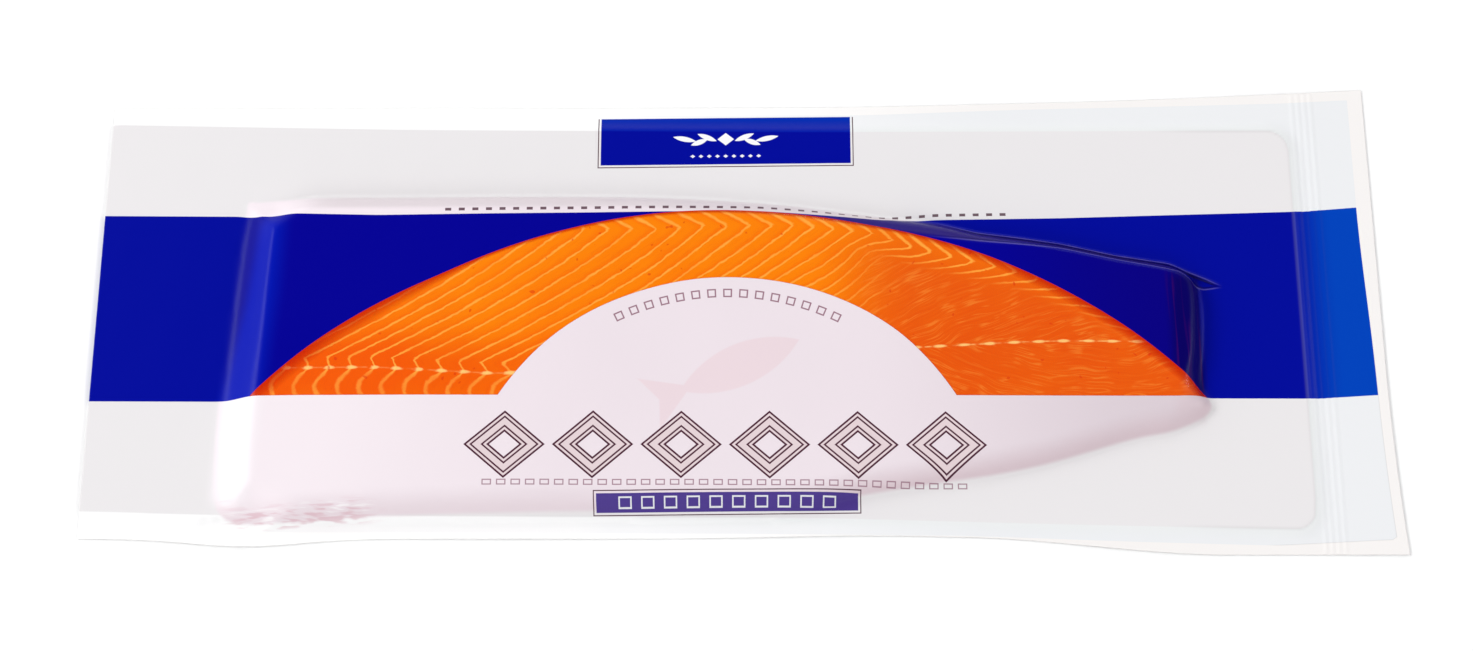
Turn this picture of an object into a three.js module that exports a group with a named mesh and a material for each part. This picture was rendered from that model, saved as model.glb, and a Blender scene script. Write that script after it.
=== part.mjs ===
// A sealed pouch of smoked fish, lying flat, as one closed solid.
//
// Inside the film lie a stiff carrier card and a side of fish on it. The film is folded over at
// the left end and sealed along the two long edges and at the mouth, the right end. The solid's
// top is a height field: the thin seal margin, the step up onto the card, the bulge of the fish,
// the pleats of the stretched film and the ribs of the mouth seal. Its underside is flat.
//
// Millimetres. +X runs along the pouch to its mouth, +Y across it, +Z up. The origin is the
// middle of the footprint, on the surface that the pouch lies on.

import * as THREE from 'three';

// ---- The pouch, seen from above ----
const POUCH_LENGTH = 645;
const POUCH_WIDTH = 244.2;
const HALF_LENGTH = POUCH_LENGTH / 2;
const HALF_WIDTH = POUCH_WIDTH / 2;
const MOUTH_FLARE = 3.8;         // how far the near corner of the mouth stands out
const MOUTH_FLARE_START = -20;   // Y at which that flare begins
const FAR_EDGE_RISE = 10.2;      // the far edge widens by this much towards the mouth
const FAR_EDGE_RISE_START = -45; // X at which it begins to
const NEAR_EDGE = -114.2;        // Y of the near edge along the middle of the pouch
const NEAR_FLARE_START = 110;    // the near edge widens between these two X
const NEAR_FLARE_END = 235;
const NEAR_WAIST = { depth: 1.5, x: 60, spread: 60 };
const NEAR_BULGE = { depth: -3.8, x: -241, spread: 38 };

// ---- Thicknesses ----
const SEAL_THICKNESS = 0.7;      // the two films pressed together, slightly wavy
const CARD_THICKNESS = 1.3;
const FISH_THICKNESS = 12.4;     // the loin, the thickest part
const BELLY_SHARE = 0.8;         // thickness of the belly, as a share of the loin's
const TAIL_SHARE = 0.74;         // thickness at the tail, as a share of the head end's

// ---- The carrier card ----
const CARD_LENGTH = 600;
const CARD_WIDTH = 206;
const CARD_CORNER_AT_FOLD = 2.5;
const CARD_CORNER_AT_MOUTH = 11;
const CARD_GAP_AT_FOLD = 1;      // between the card and the fold of the film
const CARD_CENTRE_Y = -2.6;
const CARD_TILT = THREE.MathUtils.degToRad(-0.5);
const CARD_STEP_WIDTH = 7;       // how far out from the card the film comes down

// ---- The side of fish: a closed outline through these points, head end at the left ----
const FISH_OUTLINE = [
  [-251, 50], [-239, 59.5], [-160, 61], [-56, 61], [12, 57.5], [60, 51.5], [120, 41], [188, 28.4],
  [221, 20], [226.5, 8], [226, -30], [229, -49], [189, -65], [122, -82.6], [59, -92.6], [6, -100],
  [-124, -101.4], [-216, -105.6], [-240, -107], [-252, -103.5], [-257, -92], [-256, -20],
];
const OUTLINE_SAMPLES = 160;
const SHOULDER_OUTSIDE = 3;      // the film leaves the card this far outside the outline
const SHOULDER_INSIDE = 12;      // and reaches full height this far inside it
const SEAM_Y = -31;              // the seam between loin and belly
const BELLY_BLEND = 60;          // over this width the loin's thickness falls to the belly's

// ---- Pleats of the film: ridges along a line, running out at both ends ----
const PLEATS = [
  { from: [48, 55], via: [150, 41], to: [240, 16], height: 1.1, spread: 3.2 },
  { from: [-214, -99], via: [-232, -106], to: [-242, -117], height: 1.6, spread: 4 },
  { from: [-252, -99], via: [-268, -104], to: [-284, -112], height: 0.7, spread: 4 },
  { from: [226, 22], via: [229, -10], to: [224, -46], height: 0.7, spread: 3 },
];
const PLEAT_SAMPLES = 24;

// ---- Waves of the long seals ----
const WAVE_HEIGHT = 0.25;
const WAVE_LENGTH = 74;

// ---- Ribs of the mouth seal ----
const RIB_COUNT = 4;
const RIB_PITCH = 3.2;
const RIB_HEIGHT = 0.45;
const RIB_START = 280.5;         // X of the first rib's near flank
const RIB_END = RIB_START + RIB_COUNT * RIB_PITCH;
const COLUMNS_PER_RIB = 4;

// ---- Fineness of the surface ----
const COLUMNS_BEFORE_RIBS = 70;
const COLUMNS_AFTER_RIBS = 4;
const ROWS = 34;

const { smoothstep, clamp, lerp } = THREE.MathUtils;
const bump = (x, { depth, x: middle, spread }) => depth * Math.exp(-(((x - middle) / spread) ** 2));

// ---- Edges of the pouch ----

function farEdge(x) {
  const run = clamp((x - FAR_EDGE_RISE_START) / (HALF_LENGTH - FAR_EDGE_RISE_START), 0, 1);
  return HALF_WIDTH - FAR_EDGE_RISE * (1 - run ** 2);
}

function nearEdge(x) {
  const flare = (HALF_WIDTH + NEAR_EDGE) * smoothstep(x, NEAR_FLARE_START, NEAR_FLARE_END);
  return NEAR_EDGE - flare + bump(x, NEAR_WAIST) + bump(x, NEAR_BULGE);
}

function mouthEdge(y) {
  const run = clamp((MOUTH_FLARE_START - y) / (HALF_WIDTH + MOUTH_FLARE_START), 0, 1);
  return HALF_LENGTH - MOUTH_FLARE * (1 - run ** 2);
}

// A point of the pouch from its column's X, as on the near corner's line, and its share of the
// way from the near edge to the far one.
function footprint(columnX, across) {
  const y = lerp(nearEdge(columnX), farEdge(columnX), across);
  const alongMouth = clamp((columnX - RIB_END) / (HALF_LENGTH - RIB_END), 0, 1);
  return new THREE.Vector2(columnX + alongMouth * (mouthEdge(y) - HALF_LENGTH), y);
}

// ---- Distances ----

function distanceToSegment(point, start, end) {
  const along = end.clone().sub(start);
  const share = clamp(point.clone().sub(start).dot(along) / along.lengthSq(), 0, 1);
  return point.distanceTo(start.clone().addScaledVector(along, share));
}

// Distance to a closed outline: positive inside it, negative outside.
function depthInside(point, outline) {
  let nearest = Infinity;
  let inside = false;
  for (let i = 0; i < outline.length; i += 1) {
    const start = outline[i];
    const end = outline[(i + 1) % outline.length];
    nearest = Math.min(nearest, distanceToSegment(point, start, end));
    const crosses = (start.y > point.y) !== (end.y > point.y);
    if (crosses && point.x < lerp(start.x, end.x, (point.y - start.y) / (end.y - start.y))) {
      inside = !inside;
    }
  }
  return inside ? nearest : -nearest;
}

function depthInsideCard(point) {
  const centre = new THREE.Vector2(CARD_GAP_AT_FOLD + CARD_LENGTH / 2 - HALF_LENGTH, CARD_CENTRE_Y);
  const local = point.clone().sub(centre).rotateAround(new THREE.Vector2(), -CARD_TILT);
  const radius = local.x < 0 ? CARD_CORNER_AT_FOLD : CARD_CORNER_AT_MOUTH;
  const overX = Math.abs(local.x) - CARD_LENGTH / 2 + radius;
  const overY = Math.abs(local.y) - CARD_WIDTH / 2 + radius;
  const outside = Math.hypot(Math.max(overX, 0), Math.max(overY, 0));
  return radius - outside - Math.min(Math.max(overX, overY), 0);
}

// ---- What lies under the film ----

function fishOutline() {
  const points = FISH_OUTLINE.map(([x, y]) => new THREE.Vector3(x, y, 0));
  const curve = new THREE.CatmullRomCurve3(points, true, 'centripetal');
  return curve.getSpacedPoints(OUTLINE_SAMPLES).slice(0, -1).map(({ x, y }) => new THREE.Vector2(x, y));
}

function fishThickness({ x, y }) {
  const toTail = smoothstep(x, -120, 235);
  const toBelly = smoothstep(SEAM_Y + BELLY_BLEND / 2 - y, 0, BELLY_BLEND);
  return FISH_THICKNESS * lerp(1, TAIL_SHARE, toTail) * lerp(1, BELLY_SHARE, toBelly);
}

function fishHeight(point, outline) {
  const depth = depthInside(point, outline);
  const rise = clamp((depth + SHOULDER_OUTSIDE) / (SHOULDER_OUTSIDE + SHOULDER_INSIDE), 0, 1);
  return fishThickness(point) * Math.sin((rise * Math.PI) / 2) ** 1.4;
}

// ---- What the film adds ----

function pleatLine({ from, via, to }) {
  const [start, middle, end] = [from, via, to].map(([x, y]) => new THREE.Vector2(x, y));
  return new THREE.SplineCurve([start, middle, end]).getPoints(PLEAT_SAMPLES);
}

function pleatHeight(point, { height, spread, line }) {
  let tallest = 0;
  line.forEach((onLine, index) => {
    const taper = Math.sin((Math.PI * (index + 1)) / (line.length + 1)) ** 0.5;
    const away = point.distanceTo(onLine) / spread;
    tallest = Math.max(tallest, height * taper * Math.exp(-(away ** 2)));
  });
  return tallest;
}

function ribHeight({ x }) {
  if (x <= RIB_START || x >= RIB_END) return 0;
  return RIB_HEIGHT * Math.sin((Math.PI * (x - RIB_START)) / RIB_PITCH) ** 2;
}

function sealWave({ x, y }) {
  const phase = y > 0 ? 0.9 : 0;
  return WAVE_HEIGHT * (0.5 + 0.5 * Math.sin((2 * Math.PI * x) / WAVE_LENGTH + phase));
}

// ---- The whole top of the pouch ----

function surfaceHeight(point, outline, pleats) {
  const onCard = smoothstep(depthInsideCard(point), -CARD_STEP_WIDTH, 0);
  const pleated = pleats.reduce((sum, pleat) => sum + pleatHeight(point, pleat), 0);
  return (
    SEAL_THICKNESS +
    sealWave(point) * (1 - onCard) +
    CARD_THICKNESS * onCard +
    fishHeight(point, outline) +
    ribHeight(point) +
    pleated
  );
}

function columnPlaces() {
  const places = [];
  for (let i = 0; i < COLUMNS_BEFORE_RIBS; i += 1) {
    places.push(lerp(-HALF_LENGTH, RIB_START, i / COLUMNS_BEFORE_RIBS));
  }
  for (let i = 0; i < RIB_COUNT * COLUMNS_PER_RIB; i += 1) {
    places.push(RIB_START + (i * RIB_PITCH) / COLUMNS_PER_RIB);
  }
  for (let i = 0; i <= COLUMNS_AFTER_RIBS; i += 1) {
    places.push(lerp(RIB_END, HALF_LENGTH, i / COLUMNS_AFTER_RIBS));
  }
  return places;
}

// ---- The closed solid ----

function pouchGeometry() {
  const outline = fishOutline();
  const pleats = PLEATS.map((pleat) => ({ ...pleat, line: pleatLine(pleat) }));
  const columns = columnPlaces();
  const rowCount = ROWS + 1;
  const positions = [];
  const faces = [];

  columns.forEach((columnX) => {
    for (let row = 0; row < rowCount; row += 1) {
      const point = footprint(columnX, row / ROWS);
      positions.push(point.x, point.y, surfaceHeight(point, outline, pleats));
    }
  });
  const topIndex = (column, row) => column * rowCount + row;
  for (let column = 0; column < columns.length - 1; column += 1) {
    for (let row = 0; row < ROWS; row += 1) {
      const here = topIndex(column, row);
      const next = topIndex(column + 1, row);
      faces.push(here, next, next + 1, here, next + 1, here + 1);
    }
  }

  const rim = rimOfGrid(columns.length, rowCount, topIndex);
  const firstBelow = positions.length / 3;
  rim.forEach((index) => positions.push(positions[3 * index], positions[3 * index + 1], 0));
  rim.forEach((index, i) => {
    const j = (i + 1) % rim.length;
    faces.push(firstBelow + i, firstBelow + j, rim[j], firstBelow + i, rim[j], index);
  });

  const middleBelow = positions.length / 3;
  positions.push(0, 0, 0);
  rim.forEach((_, i) => faces.push(middleBelow, firstBelow + ((i + 1) % rim.length), firstBelow + i));

  const geometry = new THREE.BufferGeometry();
  geometry.setAttribute('position', new THREE.Float32BufferAttribute(positions, 3));
  geometry.setIndex(faces);
  geometry.computeVertexNormals();
  return geometry;
}

// The grid's outer vertices, once round anticlockwise as seen from above.
function rimOfGrid(columnCount, rowCount, index) {
  const rim = [];
  for (let column = 0; column < columnCount - 1; column += 1) rim.push(index(column, 0));
  for (let row = 0; row < rowCount - 1; row += 1) rim.push(index(columnCount - 1, row));
  for (let column = columnCount - 1; column > 0; column -= 1) rim.push(index(column, rowCount - 1));
  for (let row = rowCount - 1; row > 0; row -= 1) rim.push(index(0, row));
  return rim;
}

function sealedPouch() {
  const material = new THREE.MeshStandardMaterial({ color: 0xeceaeb, roughness: 0.25, metalness: 0 });
  const mesh = new THREE.Mesh(pouchGeometry(), material);
  mesh.name = 'sealed_pouch';
  return mesh;
}

const group = new THREE.Group();
group.add(sealedPouch());

export default group;
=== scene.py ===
"""A sealed pouch of smoked salmon, lying flat with its printed face up.

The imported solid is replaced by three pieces: the film pouch, the side of salmon under it and the
carrier card under that. Each is reckoned as a height field over a grid that follows its outline,
in millimetres, and becomes a closed mesh in metres. The print is drawn by the film's material.
"""

import math

import bpy
import numpy as np
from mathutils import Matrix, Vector, geometry


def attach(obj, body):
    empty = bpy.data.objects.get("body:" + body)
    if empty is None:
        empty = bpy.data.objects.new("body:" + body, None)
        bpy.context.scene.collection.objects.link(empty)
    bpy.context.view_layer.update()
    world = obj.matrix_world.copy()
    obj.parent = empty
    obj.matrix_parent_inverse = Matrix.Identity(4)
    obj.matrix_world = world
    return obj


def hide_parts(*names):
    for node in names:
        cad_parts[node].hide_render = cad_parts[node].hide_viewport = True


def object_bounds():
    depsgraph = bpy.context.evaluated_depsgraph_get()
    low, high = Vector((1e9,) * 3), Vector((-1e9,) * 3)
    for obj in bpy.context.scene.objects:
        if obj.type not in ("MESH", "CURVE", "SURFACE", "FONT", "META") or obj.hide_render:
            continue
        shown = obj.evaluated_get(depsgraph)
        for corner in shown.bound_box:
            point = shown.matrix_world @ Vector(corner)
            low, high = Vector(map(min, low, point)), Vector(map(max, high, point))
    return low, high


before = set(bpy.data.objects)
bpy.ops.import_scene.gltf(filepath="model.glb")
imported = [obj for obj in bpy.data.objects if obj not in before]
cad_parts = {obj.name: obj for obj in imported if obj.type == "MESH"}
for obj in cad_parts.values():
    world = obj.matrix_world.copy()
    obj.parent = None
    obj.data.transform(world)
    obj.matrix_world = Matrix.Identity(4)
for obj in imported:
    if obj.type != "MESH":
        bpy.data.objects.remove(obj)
cad_low, cad_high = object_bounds()

MM = 0.001

# ---- The pouch, seen from above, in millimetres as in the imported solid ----
HALF_LENGTH = (cad_high.x - cad_low.x) / 2 / MM
HALF_WIDTH = (cad_high.y - cad_low.y) / 2 / MM
MOUTH_FLARE = 3.8
MOUTH_FLARE_START = -20
FAR_RISE = 10.2
FAR_RISE_START = -45
NEAR_EDGE = -114.2
NEAR_FLARE = (110, 235)
NEAR_WAIST = (1.5, 60, 60)  # height, place and spread of a bump in the near edge
NEAR_BULGE = (-3.8, -241, 38)

# ---- The carrier card, whose long sides bow a little ----
CARD_START = 1 - HALF_LENGTH  # a millimetre inside the fold
CARD_LENGTH = 600
CARD_FAR_SIDE = [(-323, 102), (-260, 100.8), (-170, 99.2), (40, 98), (200, 98.6), (280, 98.8)]
CARD_NEAR_SIDE = [(-323, -100.6), (-256, -102.8), (36, -104), (112, -106.2), (168, -107.6), (280, -110)]
CORNER_AT_FOLD = 2.5
CORNER_AT_MOUTH = 11
CORNER_COLUMNS = 7  # columns of vertices round each corner
CARD_ROWS = 17  # and rows of vertices across the card
CARD_BOTTOM = 0.3
CARD_TOP = 1.6

# ---- The side of salmon ----
FISH_OUTLINE = [
    (-251, 50), (-239, 59.5), (-160, 61), (-56, 61), (12, 57.5), (60, 51.5), (97, 46.5), (120, 41),
    (160, 34.5), (188, 28.5), (212, 24), (222, 19.5), (226.5, 10), (226, -12), (224.5, -36),
    (230, -49.5), (213, -59.5), (189, -65), (150, -76.5), (122, -82.5), (92, -87), (59, -92.5),
    (34, -98), (6, -100), (-68, -100.5), (-124, -101.5), (-162, -102.5), (-192, -103.5),
    (-216, -105.5), (-240, -107), (-252, -103.5), (-257, -92), (-258, -60), (-256, -20),
]
FISH_CORNERS = [(-250, -102.5), (232, -50), (222, 25), (-248, 58)]
FISH_COLUMNS = 300  # of vertices along it
FISH_ROWS = 112  # and across it
FISH_THICKNESS = 11.6
BELLY_SHARE = 0.8
TAIL_SHARE = 0.74
SHOULDER_FAR = 9.5  # width of the rounded edge along the back of the fish
SHOULDER_TAIL = 5  # the same towards the tail
SHOULDER_NEAR = 12  # and along the belly
SHOULDER_HEAD = 21  # and at the head end
FISH_INSET = 0.8  # how far the flesh stays inside the outline of the film over it
GAP = 0.2  # between touching pieces
CARD_CLEARANCE = 1.5  # how far past the card's edge the film stays up
CARD_ROW = 0.7 * CARD_CLEARANCE  # how far past it a row of the film's vertices runs
RIM_ROWS = (0.3, 0.8)  # rows of vertices this far inside the film's open edges

# ---- The film ----
SEAL_GAP = 0.2  # between the two films where they are sealed together
SEAL_REACH = 7  # how far past the card's edge the film comes down to the seal
SUCTION_AT_FISH = 0.5  # curvature of the film where it spans from fish to card, per mm
SUCTION_AT_CARD = 0.05  # and from card to seal
DRAPE_ROUNDS = 900

# ---- Ribs of the mouth seal ----
RIB_COUNT = 4
RIB_PITCH = 3.2
RIB_HEIGHT = 0.3
RIB_START = 280.5
RIB_END = RIB_START + RIB_COUNT * RIB_PITCH

# ---- The flakes of the flesh ----
FLAKE_SLANT = 1.15  # how far a line runs along the fish for each mm across it
FLAKE_BEND = 0.0062  # and how much more for each mm squared
BACK_SLANT = 1.7  # the same past the turn, towards the back
SEAM_HOOK = 5  # the lines turn back this far above the seam
SEAM_HOOK_SLANT = (0.4, 1.0)  # at the head and in the middle
BELLY_BOW = (7, 10)
BELLY_BOW_WIDTH = 20


# ======== Reckoning with arrays ========

def smoothstep(value, low, high):
    share = np.clip((value - low) / (high - low), 0, 1)
    return share * share * (3 - 2 * share)


def bell(x, middle, reach):
    """1 over the middle, falling smoothly to 0 at a distance."""
    return 1 - smoothstep(np.abs(x - middle), reach * 0.5, reach)


def bump(x, height, middle, spread):
    return height * np.exp(-(((x - middle) / spread) ** 2))


def waves(x, y, length, seed, count=5):
    """A gentle uneven relief between about -1 and 1, from a few crossing waves."""
    rng = np.random.default_rng(seed)
    total = np.zeros(np.broadcast(x, y).shape)
    for _ in range(count):
        angle, phase = rng.uniform(0, 2 * math.pi, 2)
        step = 2 * math.pi / (length * rng.uniform(0.7, 1.5))
        total += np.sin(step * (x * math.cos(angle) + y * math.sin(angle)) + phase)
    return total / count ** 0.5


def smooth_line(points, spread=12):
    """A function through given points whose corners are rounded over about spread mm."""
    xs, ys = np.array(points, float).T
    dense = np.arange(xs[0] - 3 * spread, xs[-1] + 3 * spread, 1.0)
    kernel = np.exp(-((np.arange(-2 * spread, 2 * spread + 1) / spread) ** 2) * 2)
    padded = np.interp(np.arange(dense[0] - 2 * spread, dense[-1] + 2 * spread + 1), xs, ys)
    rounded = np.convolve(padded, kernel / kernel.sum(), "valid")[: len(dense)]
    return lambda x: np.interp(x, dense, rounded)


def closed_spline(points, samples=9):
    """A closed Catmull-Rom line through the points."""
    points = np.array(points, float)
    before, after = np.roll(points, 1, 0), np.roll(points, -1, 0)
    beyond = np.roll(points, -2, 0)
    spans = []
    for t in np.arange(samples) / samples:
        spans.append(0.5 * (
            2 * points + (after - before) * t
            + (2 * before - 5 * points + 4 * after - beyond) * t ** 2
            + (3 * points - before - 3 * after + beyond) * t ** 3
        ))
    return np.stack(spans, 1).reshape(-1, 2)


def share_along(x, y, start, end):
    """How far along a span each point is, and how far off it."""
    dx, dy = end[0] - start[0], end[1] - start[1]
    share = np.clip(((x - start[0]) * dx + (y - start[1]) * dy) / (dx * dx + dy * dy), 0, 1)
    return share, np.hypot(x - start[0] - share * dx, y - start[1] - share * dy)


def depth_inside(x, y, outline):
    """Distance to a closed outline, positive inside it."""
    nearest = np.full(x.shape, np.inf)
    inside = np.zeros(x.shape, bool)
    for start, end in zip(outline, np.roll(outline, -1, 0)):
        (ax, ay), (bx, by) = start, end
        _, away = share_along(x, y, start, end)
        nearest = np.minimum(nearest, away)
        if ay != by:
            crosses = (ay > y) != (by > y)
            inside ^= crosses & (x < ax + (y - ay) * (bx - ax) / (by - ay))
    return np.where(inside, nearest, -nearest)


# ======== Outlines ========

def far_edge(x):
    run = np.clip((x - FAR_RISE_START) / (HALF_LENGTH - FAR_RISE_START), 0, 1)
    return HALF_WIDTH - FAR_RISE * (1 - run ** 2)


def near_edge(x):
    flare = (HALF_WIDTH + NEAR_EDGE) * smoothstep(x, *NEAR_FLARE)
    return NEAR_EDGE - flare + bump(x, *NEAR_WAIST) + bump(x, *NEAR_BULGE)


def mouth_inset(y):
    run = np.clip((MOUTH_FLARE_START - y) / (HALF_WIDTH + MOUTH_FLARE_START), 0, 1)
    return MOUTH_FLARE * (1 - run ** 2)


card_far_side = smooth_line(CARD_FAR_SIDE, 30)
card_near_side = smooth_line(CARD_NEAR_SIDE, 30)


def depth_inside_card(x, y):
    middle = (card_far_side(x) + card_near_side(x)) / 2
    half_width = (card_far_side(x) - card_near_side(x)) / 2
    along = x - CARD_START - CARD_LENGTH / 2
    corner = np.where(along < 0, CORNER_AT_FOLD, CORNER_AT_MOUTH)
    over_x = np.abs(along) - CARD_LENGTH / 2 + corner
    over_y = np.abs(y - middle) - half_width + corner
    outside = np.hypot(np.maximum(over_x, 0), np.maximum(over_y, 0))
    return corner - outside - np.minimum(np.maximum(over_x, over_y), 0)


fish_outline = closed_spline(FISH_OUTLINE)


def inset_outline(outline, inset):
    """The same clockwise outline, moved inwards."""
    along = np.roll(outline, -1, 0) - np.roll(outline, 1, 0)
    along /= np.hypot(along[:, :1], along[:, 1:])
    return outline + inset * np.stack([along[:, 1], -along[:, 0]], 1)


# The film's rows of vertices follow the foot of the slope on both long sides of the fish.
far_foot = smooth_line([
    (-330, 58), (-262, 58), (-240, 63), (-56, 64), (12, 60), (97, 48.5), (118, 43), (159, 36.5),
    (212, 26), (239, 15), (262, 13), (330, 12),
], 5)
near_foot = smooth_line([
    (-330, -98), (-262, -103), (-240, -109), (-192, -105.5), (-124, -103.5), (8, -102.5),
    (36, -100), (59, -95), (122, -85), (150, -79), (189, -67), (218, -61.5), (234, -52),
    (262, -48), (330, -48),
], 6)


# ======== What lies under the film ========

def fish_thickness(x, y):
    to_tail = smoothstep(x, -120, 235)
    to_belly = smoothstep(-y, 1, 61)
    even = FISH_THICKNESS * (1 + (TAIL_SHARE - 1) * to_tail) * (1 + (BELLY_SHARE - 1) * to_belly)
    return even + 0.16 * waves(x, y, 62, seed=3)


def fish_top(x, y, outline):
    """Height of the flesh above the card, 0 outside the outline."""
    depth = depth_inside(x, y, outline)
    far = SHOULDER_FAR + (SHOULDER_TAIL - SHOULDER_FAR) * smoothstep(x, 88, 150)
    shoulder = SHOULDER_NEAR + (far - SHOULDER_NEAR) * smoothstep(y, -46, -20)
    to_head = 1 - smoothstep(x, -240, -215)
    shoulder += (SHOULDER_HEAD - shoulder) * to_head
    share = np.clip(depth / shoulder, 0, 1)
    rounded = (1 - (1 - share) ** 2) ** 0.62
    gentle = smoothstep(depth, 0, shoulder)
    return fish_thickness(x, y) * (rounded + (gentle - rounded) * to_head)


# ======== Grids ========

def rows_between(lines, counts):
    """Rows of vertices between neighbouring lines, counts of them in each gap."""
    rows = []
    for low, high, count in zip(lines, lines[1:], counts):
        shares = np.arange(count) / count
        rows.extend(low + (high - low) * share for share in shares)
    rows.append(lines[-1])
    return np.stack(rows, -1)


def film_grid():
    """Columns from the fold to the mouth. Rows follow the card's long sides and the fish's."""
    columns = np.concatenate([
        [-HALF_LENGTH, -HALF_LENGTH + 0.35, -HALF_LENGTH + 0.8],
        np.arange(-HALF_LENGTH + 1.6, 274, 1.65),
        np.arange(274, RIB_END + 1, 0.8),
        np.linspace(RIB_END + 1.6, HALF_LENGTH - RIM_ROWS[1], 13),
        [HALF_LENGTH - RIM_ROWS[0], HALF_LENGTH],
    ])
    near, far = near_edge(columns), far_edge(columns)
    belly, back = np.maximum(near_foot(columns), near + 8), far_foot(columns)
    by_belly = belly - 3.5
    past_card = np.minimum(card_near_side(columns) - CARD_ROW, by_belly - 2)
    on_card = past_card + np.minimum(8, (by_belly - past_card) / 2)
    beyond_card = card_far_side(columns) + CARD_ROW
    near_rim = [near, near + RIM_ROWS[0], near + RIM_ROWS[1]]
    far_rim = [far - RIM_ROWS[1], far - RIM_ROWS[0], far]
    lines = [
        *near_rim, past_card, on_card, by_belly, belly + 15, back - 13,
        back - 7, back + 2.6, back + 9, beyond_card - 8, beyond_card, *far_rim,
    ]
    y = rows_between(lines, [1, 1, 5, 6, 6, 14, 68, 6, 21, 5, 18, 6, 8, 1, 1])
    x = np.repeat(columns[:, None], y.shape[1], 1)
    along_mouth = np.clip((x - RIB_END) / (HALF_LENGTH - RIB_END), 0, 1)
    return x - along_mouth * mouth_inset(y), y


def fish_grid(outline):
    """Columns from the head end to the tail, each from the belly's edge to the back's."""
    across = np.linspace(0, 1, FISH_ROWS)
    along = np.linspace(0, 1, FISH_COLUMNS)
    head_start, tail_start, tail_end, head_end = (
        np.argmin(np.hypot(*(outline - corner).T)) for corner in FISH_CORNERS
    )

    def stretch(start, end, shares):
        step = -1 if (start - end) % len(outline) < (end - start) % len(outline) else 1
        count = ((end - start) * step) % len(outline)
        points = outline[(start + step * np.arange(count + 1)) % len(outline)]
        length = np.concatenate([[0], np.cumsum(np.hypot(*np.diff(points, axis=0).T))])
        at = shares * length[-1]
        return np.stack([np.interp(at, length, points[:, k]) for k in (0, 1)], -1)

    belly = stretch(head_start, tail_start, along)
    back = stretch(head_end, tail_end, along)
    head = stretch(head_start, head_end, across)
    tail = stretch(tail_start, tail_end, across)
    u, v = along[:, None, None], across[None, :, None]
    surface = (1 - v) * belly[:, None] + v * back[:, None] + (1 - u) * head[None] + u * tail[None]
    surface -= (
        (1 - u) * (1 - v) * belly[0] + u * (1 - v) * belly[-1]
        + (1 - u) * v * back[0] + u * v * back[-1]
    )
    return surface[..., 0], surface[..., 1]


# ======== The film's height ========

def drape(x, y, obstacle, pinned, suction):
    """Film pulled tight over an obstacle by the vacuum: it touches it, or spans in a curve."""
    height = obstacle.copy()
    inner = (slice(1, -1), slice(1, -1))
    east = np.hypot(x[2:, 1:-1] - x[1:-1, 1:-1], y[2:, 1:-1] - y[1:-1, 1:-1])
    west = np.hypot(x[1:-1, 1:-1] - x[:-2, 1:-1], y[1:-1, 1:-1] - y[:-2, 1:-1])
    north = y[1:-1, 2:] - y[1:-1, 1:-1]
    south = y[1:-1, 1:-1] - y[1:-1, :-2]
    weight_east, weight_west = 2 / (east * (east + west)), 2 / (west * (east + west))
    weight_north, weight_south = 2 / (north * (north + south)), 2 / (south * (north + south))
    total = weight_east + weight_west + weight_north + weight_south
    for _ in range(DRAPE_ROUNDS):
        pulled = (
            weight_east * height[2:, 1:-1] + weight_west * height[:-2, 1:-1]
            + weight_north * height[1:-1, 2:] + weight_south * height[1:-1, :-2] - suction[inner]
        ) / total
        height[inner] = np.where(pinned[inner], height[inner], np.maximum(obstacle[inner], pulled))
    return height


def lift(x, y):
    """How far the sealed margins stand off the table, in slow waves."""
    outside = smoothstep(-depth_inside_card(x, y), 2, 14)
    return np.maximum(0.16 * (1 + waves(x, y * 0.3, 95, seed=11)), 0) * outside


def ribs(x):
    inside = (x > RIB_START) & (x < RIB_END)
    return np.where(inside, RIB_HEIGHT * np.sin(np.pi * (x - RIB_START) / RIB_PITCH) ** 2, 0)


def ridge(distance, height, width):
    return height / (1 + (distance / width) ** 2) ** 1.5


# Crests of the pinched double pleat along the back of the fish, which end past its tail.
outer_crest = smooth_line([
    (30, 57), (44, 54), (97, 48.5), (118, 42.5), (159, 36.5), (187, 30), (214, 26), (222, 22),
    (239, 15), (260, 12),
], 3)
inner_crest = smooth_line([
    (30, 48), (46, 47), (67, 42.5), (92, 38), (125, 35), (159, 32), (187, 26), (218, 20),
    (224, 15), (230, 12.5), (239, 14), (260, 12),
], 3)


def far_pleat(x, y):
    reach = smoothstep(x, 92, 140) * (1 - smoothstep(x, 230, 241))
    outer = ridge(y - outer_crest(x), 1.9, 0.75)
    inner = ridge(y - inner_crest(x), 0.35, 0.7) * smoothstep(x, 120, 170)
    return reach * (outer + inner)


NEAR_PUCKERS = (  # start, end, height and width of each gathered fold
    ((-218, -102.5), (-246, -117), 1.3, 2.0), ((-192, -101.5), (-252, -102.5), 0.5, 1.3),
    ((-200, -106), (-246, -109.5), 0.5, 1.2), ((-252, -103), (-286, -113), 0.6, 2.6),
    ((-178, -94), (-200, -103), 0.4, 2.2), ((-126, -96), (-190, -98.5), 0.3, 2.0),
    ((-300, -106), (-318, -112), 0.6, 2.2), ((255, -118), (316, -114.6), 0.35, 0.9),
)


def near_puckers(x, y):
    """Folds where the film is gathered along the near side, most of all by the head."""
    total = np.zeros(x.shape)
    for start, end, height, width in NEAR_PUCKERS:
        share, away = share_along(x, y, start, end)
        total += ridge(away, height, width) * np.sin(np.pi * (0.1 + 0.8 * share))
    return total


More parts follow.
